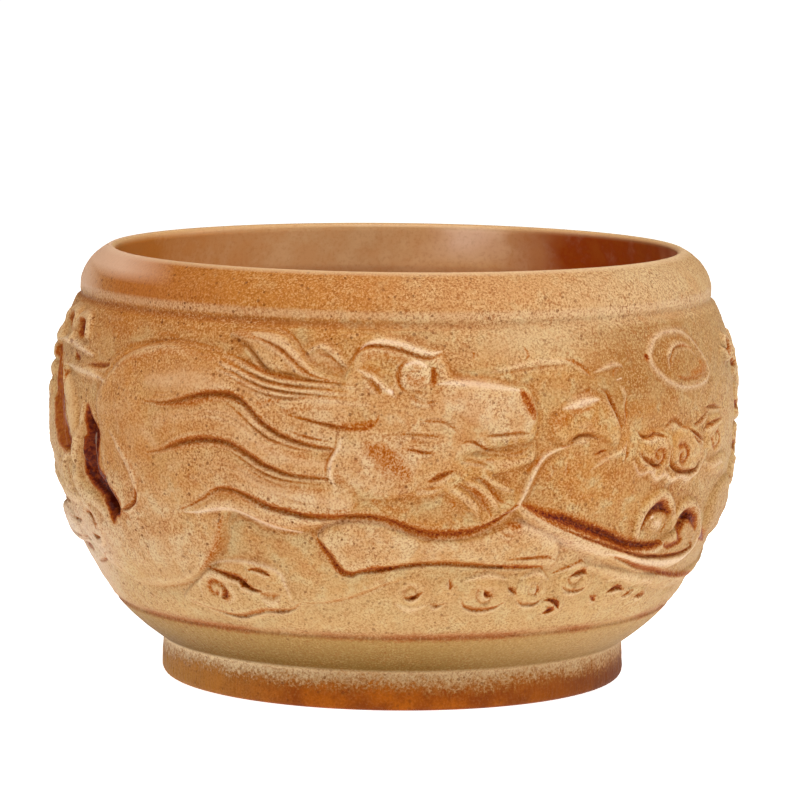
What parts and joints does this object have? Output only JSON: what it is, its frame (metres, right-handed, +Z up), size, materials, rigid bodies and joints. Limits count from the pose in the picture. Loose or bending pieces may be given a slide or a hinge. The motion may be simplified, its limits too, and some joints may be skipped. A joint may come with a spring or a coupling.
{
  "type": "ceramic tea cup",
  "caption": "Round closed-in ceramic tea cup on a foot ring, with a collar below its lip and a dragon, clouds and waves in low relief around its belly.",
  "frame": {"origin": "on the table under the centre of the foot ring", "axes": "+Z up along the cup's axis, -Y towards the viewer of the dragon's head"},
  "size_m": [0.0894, 0.0893, 0.055],
  "materials": {
    "glazed_stoneware": "satin",
    "inner_glaze": "gloss"
  },
  "bodies": {
    "root": {"cup_body": "glazed_stoneware"}
  },
  "joints": []
}
